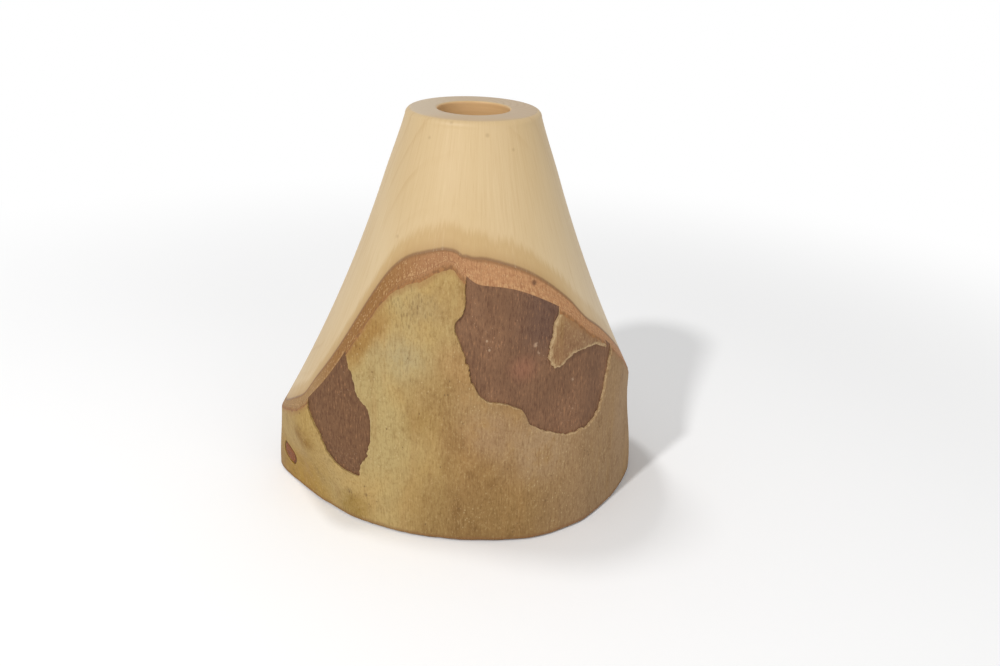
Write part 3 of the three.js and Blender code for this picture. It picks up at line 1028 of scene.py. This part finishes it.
# %% Inner bark, outside
brown = new_finish("inner_bark_outside")
x, z = brown.part("X"), brown.part("Z")
strands = brown.grain((1900, 1900, 420), 3.0, 0.65)
threads = brown.grain((700, 700, 80), 3.0, 0.55)
patches = brown.grain((95, 95, 60), 3.0)
brown.colour = brown.blend(patches.band(0.3, 0.7), (120, 85, 58), (132, 95, 66))
brown.cover(x.band(-0.02, -0.036), (115, 80, 51))
shaded = x.band(0.012, 0.028) * z.uneven(0.006, patches).band(0.068, 0.082)
brown.cover(shaded * 0.8, (100, 71, 56))
brown.cover(brown.spot((20.3, -36.2, 68.8), 4, 3.5) * 0.6, (152, 102, 76))
brown.stain(threads.band(0.45, 0.7) * 0.25, (202, 180, 162))
brown.stain(strands.band(0.5, 0.64) * 0.52, (176, 148, 130))
brown.cover(strands.band(0.43, 0.3) * 0.42, (172, 124, 84))
rusty = brown.specks((800, 800, 260)).band(0.22, 0.1) * patches.band(0.42, 0.6)
brown.cover(rusty * 0.4, (178, 124, 82))
print("inner bark is brown and fibrous")

# %% Specks of cork left on the inner bark
cork = brown.specks((230, 230, 190)).band(0.13, 0.06) * patches.band(0.55, 0.62)
relief = strands * 0.6 + threads * 0.4 + cork * 0.5
crumbs = brown.grain((900, 900, 700), 2.0)
for centre, radius in (((24.4, -34.7, 77.2), 0.9), ((25.6, -34.2, 74.4), 0.6),
                       ((38.2, -26.8, 61), 0.4), ((39, -26.4, 49.6), 0.4)):
    cork = cork + brown.spot(centre, radius, 0.7) * crumbs.band(0.6, 0.42)
dust = brown.specks((1000, 1000, 800)).band(0.2, 0.1) * patches.band(0.46, 0.6)
cork = (cork + dust * 0.6).band(0.0, 1.0)
brown.cover(cork * 0.6, (190, 160, 130))
inner_bark.data.materials.append(brown.surface(0.8 - 0.1 * rusty, relief, 0.16))
print("inner bark, outside, has", len(brown.tree.nodes), "nodes")

# %% The cut face of both barks
cut = new_finish("bark_cut_face")
layer, along, x = cut.number("layer"), cut.number("along"), cut.part("X")


def on_cut(lengthwise, through):
    """A place on the cut face, with so many cells to a millimetre along it and to its depth."""
    return cut.node("CombineXYZ", inputs={"X": along * lengthwise, "Y": layer * through, "Z": 0.0})


ply = cut.grain(on_cut(0.9, 7.0), 4.0, 0.6)
ticks = cut.grain(on_cut(3.2, 1.8), 3.0, 0.6)
dots = cut.specks(on_cut(1.9, 5.5)).band(0.36, 0.14)
cut.colour = cut.blend(ply.band(0.3, 0.7), (175, 126, 86), (196, 147, 101))
cut.cover(x.band(0.008, -0.01) * 0.65, (158, 113, 74))
cut.cover(x.band(-0.008, -0.032) * 0.8, (144, 102, 48))
cut.cover(x.band(-0.043, -0.056) * 0.8, (168, 134, 88))
cut.stain(ticks.band(0.48, 0.64) * 0.5, (196, 166, 144))
cut.cover(dots * 0.6, (214, 172, 124))
cut.cover(layer.band(0.18, 0.02) * 0.75, (140, 100, 62))
dotted = layer.uneven(0.16, ply).band(0.8, 0.88) * layer.band(1.0, 0.94)
dotted = dotted * ticks.band(0.58, 0.42) * ply.band(0.4, 0.55)
cut.cover(dotted * 0.4, (212, 172, 122))
crust = cut.blend(ply.band(0.4, 0.6), (160, 112, 66), (130, 90, 54))
crumbly = layer.uneven(0.25, ticks).uneven(0.25, ply)
cut.cover(crumbly.band(1.04, 1.18) * 0.9, crust)
cut.cover(cut.spot(PIN_KNOT, 0.9, 0.5) * 0.8, (104, 68, 44))
bark_cut = cut.surface(0.7 - 0.1 * ply, ply + 0.6 * dots, 0.12, gloss=0.3)
inner_bark.data.materials.append(bark_cut)
print("the cut face has", len(cut.tree.nodes), "nodes")

# %% [markdown]
# ## Finish of the outer bark
# Thin tan bark with a fine upright grain. It is greener and paler in the middle, browner round to
# the right and rusty just under the live edge. Broken edges are pale, because fresh bark shows
# there, and painted light makes them paler still where they face up and to the left, towards the
# key lamp. The bark is also darker along the foot.

# %% Outer bark: where it is olive, ochre and brown
tan = new_finish("outer_bark")
from_tear, below_edge, pale_rim_and_painted_light = (tan.number(name) for name in ("from_tear", "below_edge", "pale_rim_and_painted_light"))
x, z = tan.part("X"), tan.part("Z")
grain = tan.grain((1700, 1700, 260), 3.0, 0.65)
stripes = tan.grain((160, 160, 16), 3.0, 0.6)
mottle = tan.grain((170, 170, 110), 4.0, 0.65)
speckle = tan.grain((1300, 1300, 800), 2.0, 0.6)
clouds = tan.grain((42, 42, 24), 3.0)
olive = tan.blend(clouds.band(0.35, 0.65), (188, 156, 96), (181, 157, 104))
ochre = tan.blend(mottle.band(0.35, 0.65), (164, 126, 76), (152, 116, 68))
warm = x.uneven(0.03, clouds).uneven(0.016, stripes).band(-0.017, 0.002)
warm = warm * z.uneven(0.03, clouds).band(0.09, 0.068)
tan.colour = tan.blend(warm, olive, ochre)
low = z.uneven(0.02, mottle).band(0.046, 0.008) * x.band(-0.03, -0.008)
tan.cover(low * 0.75, (140, 109, 62))
right_side = x.uneven(0.012, mottle).band(0.018, 0.044)
tan.cover(right_side * 0.8, (157, 126, 90))
far_left = x.uneven(0.01, mottle).band(-0.044, -0.06)
left_tan = tan.blend(z.band(0.014, 0.026), (168, 130, 46), (172, 141, 80))
tan.cover(far_left * 0.9, left_tan)
behind = tan.part("Y").uneven(0.012, clouds).band(-0.004, 0.014)
round_back = tan.blend(clouds.band(0.38, 0.62), (158, 126, 82), (146, 112, 70))
tan.cover(behind, round_back)
tan.stain(pale_rim_and_painted_light.band(0.95, 1.0), (236, 224, 230))
TINTS = (((-5, -38, 91), 9, 8, (168, 134, 82)),
         ((-21.5, -35.5, 71), 8, 8, (174, 157, 118)),
         ((27, -34, 38), 13, 9, (174, 145, 110)),
         ((-59.5, -25.5, 32), 5, 3, (134, 94, 20)),
         ((-8, -38, 48), 9, 7, (158, 124, 76)),
         ((-15, -37.5, 90), 6, 6, (174, 150, 104)),
         ((-41, -28, 5), 7, 5, (144, 112, 36)),
         ((-11, -38.5, 56), 10, 6, (166, 134, 82)),
         ((-2, -39.5, 72), 7, 5, (178, 142, 92)),
         ((5, -40, 55), 8, 6, (169, 138, 94)),
         ((11, -40, 45), 9, 6, (168, 136, 100)),
         ((-15, -37.5, 46), 6, 6, (162, 130, 72)))
for centre, radius, soft, tint in TINTS:
    tinted = tan.spot(centre, radius, soft) * mottle.band(0.2, 0.55)
    tan.cover(tinted * 0.7, tint)
stain = tan.spot((-35, -33.5, 77), 12, 8) * below_edge.uneven(9.0, mottle).band(15.0, 6.0)
tan.cover(stain * 0.8, (160, 118, 56))
print("outer bark has its broad colours")

# %% Outer bark: grain, specks and wear
tan.cover(stripes.band(0.52, 0.72) * 0.4, (164, 128, 78))
tan.stain(mottle.band(0.5, 0.7) * 0.35, (206, 188, 164))
tan.stain(grain.band(0.48, 0.66) * 0.35, (196, 178, 152))
tan.cover(grain.band(0.42, 0.28) * 0.3, (202, 172, 118))
tan.stain(speckle.band(0.52, 0.68) * 0.3, (196, 176, 150))
tan.cover(speckle.band(0.42, 0.3) * 0.25, (204, 176, 124))
dark_specks = tan.specks((520, 520, 260)).band(0.16, 0.08) * mottle.band(0.5, 0.62)
dashes = tan.specks((1100, 1100, 340)).band(0.4, 0.22) * mottle.band(0.34, 0.48)
dashes = dashes * tan.spot((-18, -36, 90), 10, 8) * 0.55
tan.cover((dark_specks + dashes).band(0.0, 1.0) * 0.7, (104, 78, 48))
pale_specks = tan.specks((640, 640, 420)).band(0.2, 0.1) * clouds.band(0.5, 0.6)
tan.cover(pale_specks * 0.4, (206, 182, 134))
for centre, radius in (((-41.7, -28.8, 12.5), 1.1), ((-35.3, -31.5, 12.8), 0.8)):
    slit = tan.spot(centre, radius, 0.6) * grain.band(0.3, 0.6)
    tan.cover(slit * 0.7, (112, 84, 50))
rust = below_edge.uneven(5.0, mottle).band(2.6, 0.2)
tan.cover(rust * 0.45, (152, 108, 66))
# The bark is painted darker along its lowest couple of millimetres at the foot.
dark_foot_band = z.uneven(0.002, mottle).band(0.0024, 0.0008)
tan.cover(dark_foot_band * 0.6, (128, 88, 54))
print("outer bark has its grain")

# %% Outer bark: pale torn edges, with painted light on them
# The rims are pale from broken bark, and painted light makes them paler still where they face up and
# to the left, towards the key lamp.
width = 0.2 + 0.52 * pale_rim_and_painted_light * pale_rim_and_painted_light
crumble = tan.grain((520, 520, 520), 2.0)
from_rim = from_tear.uneven(0.7, grain).uneven(2.0, crumble)
torn = from_rim.band(width, width * 0.4) * pale_rim_and_painted_light.band(0.0, 0.9)
torn = torn * (0.45 + 0.4 * speckle.band(0.56, 0.42))
tan.cover(torn, (198, 170, 128))
frayed_rim = from_tear.uneven(1.6, crumble).band(3.0, 0.8) * pale_rim_and_painted_light.band(0.95, 1.05)
tan.cover(frayed_rim * grain.band(0.56, 0.44) * 0.4, (186, 156, 112))
relief = grain * 0.5 + mottle * 0.6 + stripes * 0.3
tan_bark = tan.surface(0.66 + 0.1 * (mottle - 0.5), relief, 0.14, gloss=0.3)
for piece in (sheet, front_flake, back_flake):
    piece.data.materials.append(tan_bark)
    piece.data.materials.append(bark_cut)
print("outer bark has", len(tan.tree.nodes), "nodes")

# %% [markdown]
# ## Finish of the knot and the glass
# The knot is end grain of a small branch, so its rings follow its own outline, with dark pith in the
# middle. Glass needs an index of refraction, full transmission and a little roughness. Refracted
# light is slow to find, so rays that look for a lamp, or carry light from wood to wood, go straight
# through the glass instead, and so does a quarter of all other rays. Without this the hole behind the
# tube is black.

# %% Knot and glass
eye = new_finish("branch_knot")
knot_ring = eye.number("knot_ring")
wobble = eye.grain((400, 400, 400), 3.0)
flecks = eye.grain((1500, 1500, 1500), 2.0)
rings = knot_ring.uneven(0.3, wobble) * 4.5 % 1.0
eye.colour = eye.blend(rings.band(0.2, 0.9), (150, 88, 42), (120, 66, 30))
eye.stain(flecks.band(0.45, 0.65) * 0.6, (196, 170, 146))
eye.cover(knot_ring.uneven(0.2, wobble).band(0.22, 0.08) * 0.7, (92, 54, 28))
eye.cover(knot_ring.uneven(0.2, wobble).band(0.74, 0.94), (108, 66, 32))
relief = rings * 0.6 + wobble + flecks * 0.5
knot.data.materials.append(eye.surface(0.7 - 0.1 * wobble, relief, 0.25, gloss=0.2))

STRAIGHT_THROUGH = 0.25
GLASS_TINT = (0.945, 0.97, 0.963, 1)
GLASS_IOR = 1.47
clear = new_finish("clear_glass")
smears = clear.grain((60, 60, 30), 2.0)
glass = clear.shader(GLASS_TINT, 0.02 + 0.05 * smears, smears, 0.01,
                     **{"Transmission Weight": 1.0, "IOR": GLASS_IOR})
see_through = clear.node("BsdfTransparent", inputs={"Color": GLASS_TINT})
unbent = STRAIGHT_THROUGH + (1 - STRAIGHT_THROUGH) * clear.rays("Shadow", "Diffuse")
lit_glass = clear.node("MixShader", inputs={0: unbent, 1: glass, 2: see_through})
clear.node("OutputMaterial", inputs={"Surface": lit_glass})
tube.data.materials.append(clear.owner)
print("knot and glass are done")

# %% [markdown]
# ## Floor and light
# A plain pale floor takes the shadow. To the camera, and in reflections, it is a little paler, and
# white away from the vase, so that it runs into the white world without a line. One small lamp stands
# in front and to the left, as the long shadow in the photograph shows, and a wide one and the white
# world fill the rest. The photograph also has a soft shadow close along the foot on the right, which
# the first lamp can't cast. A third lamp high on the left makes it, and it is linked to the floor
# alone, so that it doesn't wash out the vase.

# %% Floor
FLOOR_REACH = 6.0
FLOOR_DROP = 0.0002
FLOOR_GREY = (0.8, 0.8, 0.8, 1)
PALER_GREY = (0.95, 0.95, 0.95, 1)
WHITE_FROM, WHITE_AT = 0.2, 0.5
WHITE = (1, 1, 1, 1)
SEEN = ("Camera", "Glossy", "Transmission")
corners = [(x * FLOOR_REACH, y * FLOOR_REACH, 0) for x, y in ((-1, -1), (1, -1), (1, 1), (-1, 1))]
floor_mesh = bpy.data.meshes.new("floor")
floor_mesh.from_pydata(corners, [], [(0, 1, 2, 3)])
floor = add("floor", floor_mesh)
floor.location.z = -FLOOR_DROP

ground = new_finish("pale_floor")
matt = ground.node("BsdfDiffuse", inputs={"Color": FLOOR_GREY})
lit = ground.node("BsdfDiffuse", inputs={"Color": PALER_GREY})
white = ground.node("Emission", inputs={"Color": WHITE, "Strength": 1.0})
away = ground.vector("LENGTH", ground.place, output="Value")
whiteness = away.band(WHITE_FROM, WHITE_AT)
shown = ground.node("MixShader", inputs={0: whiteness, 1: lit, 2: white})
floor_shader = ground.node("MixShader", inputs={0: ground.rays(*SEEN), 1: matt, 2: shown})
ground.node("OutputMaterial", inputs={"Surface": floor_shader})
floor_mesh.materials.append(ground.owner)
print("floor reaches", FLOOR_REACH, "m each way")

# %% Lamps and world
AIM = Vector((0, 0, 0.07))
WORLD_STRENGTH = 0.46


def disk_lamp(name, place, size, power):
    """A round lamp that points at the middle of the vase."""
    lamp_data = bpy.data.lights.new(name, "AREA")
    lamp_data.shape = "DISK"
    lamp_data.size = size
    lamp_data.energy = power
    lamp = add(name, lamp_data)
    lamp.location = place
    lamp.rotation_euler = (AIM - lamp.location).to_track_quat("-Z", "Y").to_euler()
    print(name, power, "W")
    return lamp


disk_lamp("key_lamp", (-0.55, -0.85, 0.99), size=0.09, power=8.5)
disk_lamp("fill_lamp", (0.8, -1.1, 0.42), size=0.9, power=3.4)
top_lamp = disk_lamp("top_lamp", (-0.46, 0.12, 1.3), size=0.25, power=4.4)
only_floor = bpy.data.collections.new("lit_by_top_lamp")
only_floor.objects.link(floor)
top_lamp.light_linking.receiver_collection = only_floor

world = bpy.data.worlds.new("white_world")
bpy.context.scene.world = world
sky = Finish(world)
fill = sky.node("Background", inputs={"Color": WHITE, "Strength": WORLD_STRENGTH})
backdrop = sky.node("Background", inputs={"Color": WHITE, "Strength": 1.0})
sky_shader = sky.node("MixShader", inputs={0: sky.rays(*SEEN), 1: fill, 2: backdrop})
sky.node("OutputWorld", inputs={"Surface": sky_shader})
bpy.context.scene.view_settings.view_transform = "Standard"
